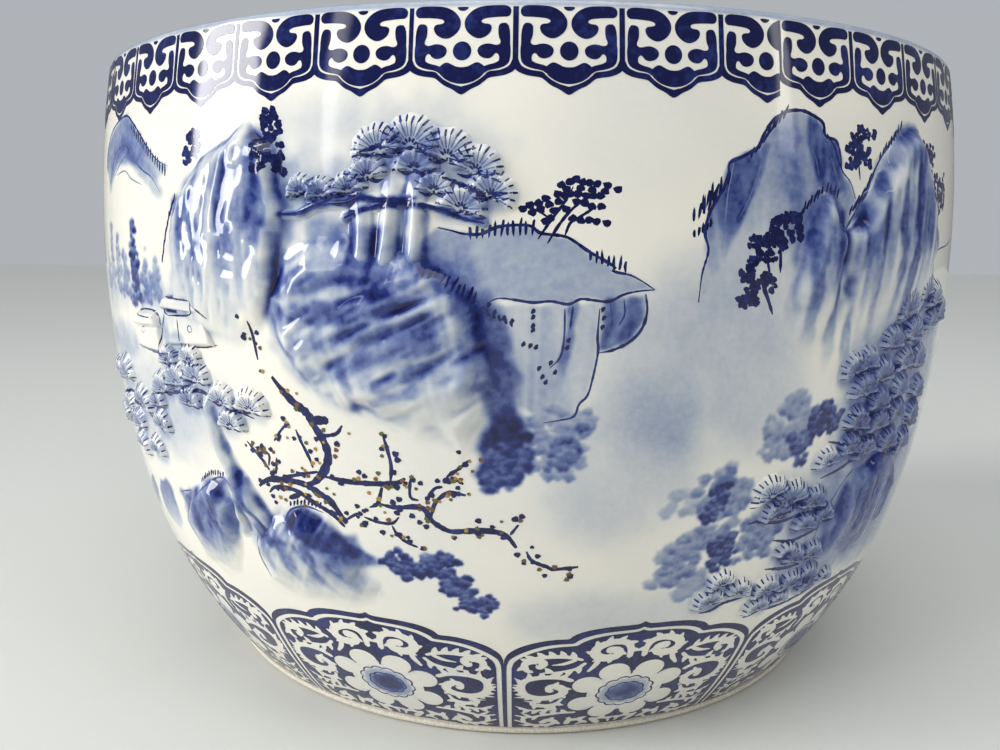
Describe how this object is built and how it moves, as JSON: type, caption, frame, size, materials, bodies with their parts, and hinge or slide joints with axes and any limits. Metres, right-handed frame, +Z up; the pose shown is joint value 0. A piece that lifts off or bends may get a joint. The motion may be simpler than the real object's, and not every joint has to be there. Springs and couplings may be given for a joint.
{
  "type": "porcelain jardiniere",
  "caption": "Large round open porcelain jardiniere on a low foot ring, with a blue and white landscape in relief between two panelled borders.",
  "frame": {"origin": "middle of the foot ring's resting face", "axes": "+Z up along the bowl's axis; -Y is the front, where the cliff and the plum branch are; +X to the viewer's right"},
  "size_m": [0.461, 0.4713, 0.3],
  "materials": {
    "glazed_wall": "glossy clear glaze over white porcelain, painted underneath in cobalt blue",
    "glazed_relief": "glossy clear glaze over raised porcelain, washed in pale and dark cobalt",
    "bare_foot": "bare fired porcelain, wiped clean of glaze, slightly toasted at its edge"
  },
  "bodies": {
    "root": {"foot_ring": "bare_foot", "lower_bowl": "glazed_wall", "upper_wall": "glazed_wall", "rim_lip": "glazed_wall", "centre_cliff_relief": "glazed_relief", "left_peak_relief": "glazed_relief", "right_peak_relief": "glazed_relief", "right_spur_relief": "glazed_relief", "shore_rock_left": "glazed_relief", "shore_rock_centre": "glazed_relief", "right_rock_relief": "glazed_relief", "back_peak_relief": "glazed_relief", "back_cliff_relief": "glazed_relief", "back_shore_rock": "glazed_relief", "centre_pine_crown": "glazed_relief", "left_pine_upper_pads": "glazed_relief", "left_pine_lower_pads": "glazed_relief", "right_pine_upper_pads": "glazed_relief", "right_pine_middle_pads": "glazed_relief", "right_pine_lower_pads": "glazed_relief", "back_pine_crown": "glazed_relief", "back_pine_pads": "glazed_relief", "side_pine_pads": "glazed_relief", "centre_pine_trunk": "glazed_relief", "left_pine_trunk": "glazed_relief", "back_pine_trunk": "glazed_relief", "pavilion_gate_relief": "glazed_relief", "pavilion_hall_relief": "glazed_relief"}
  },
  "joints": []
}
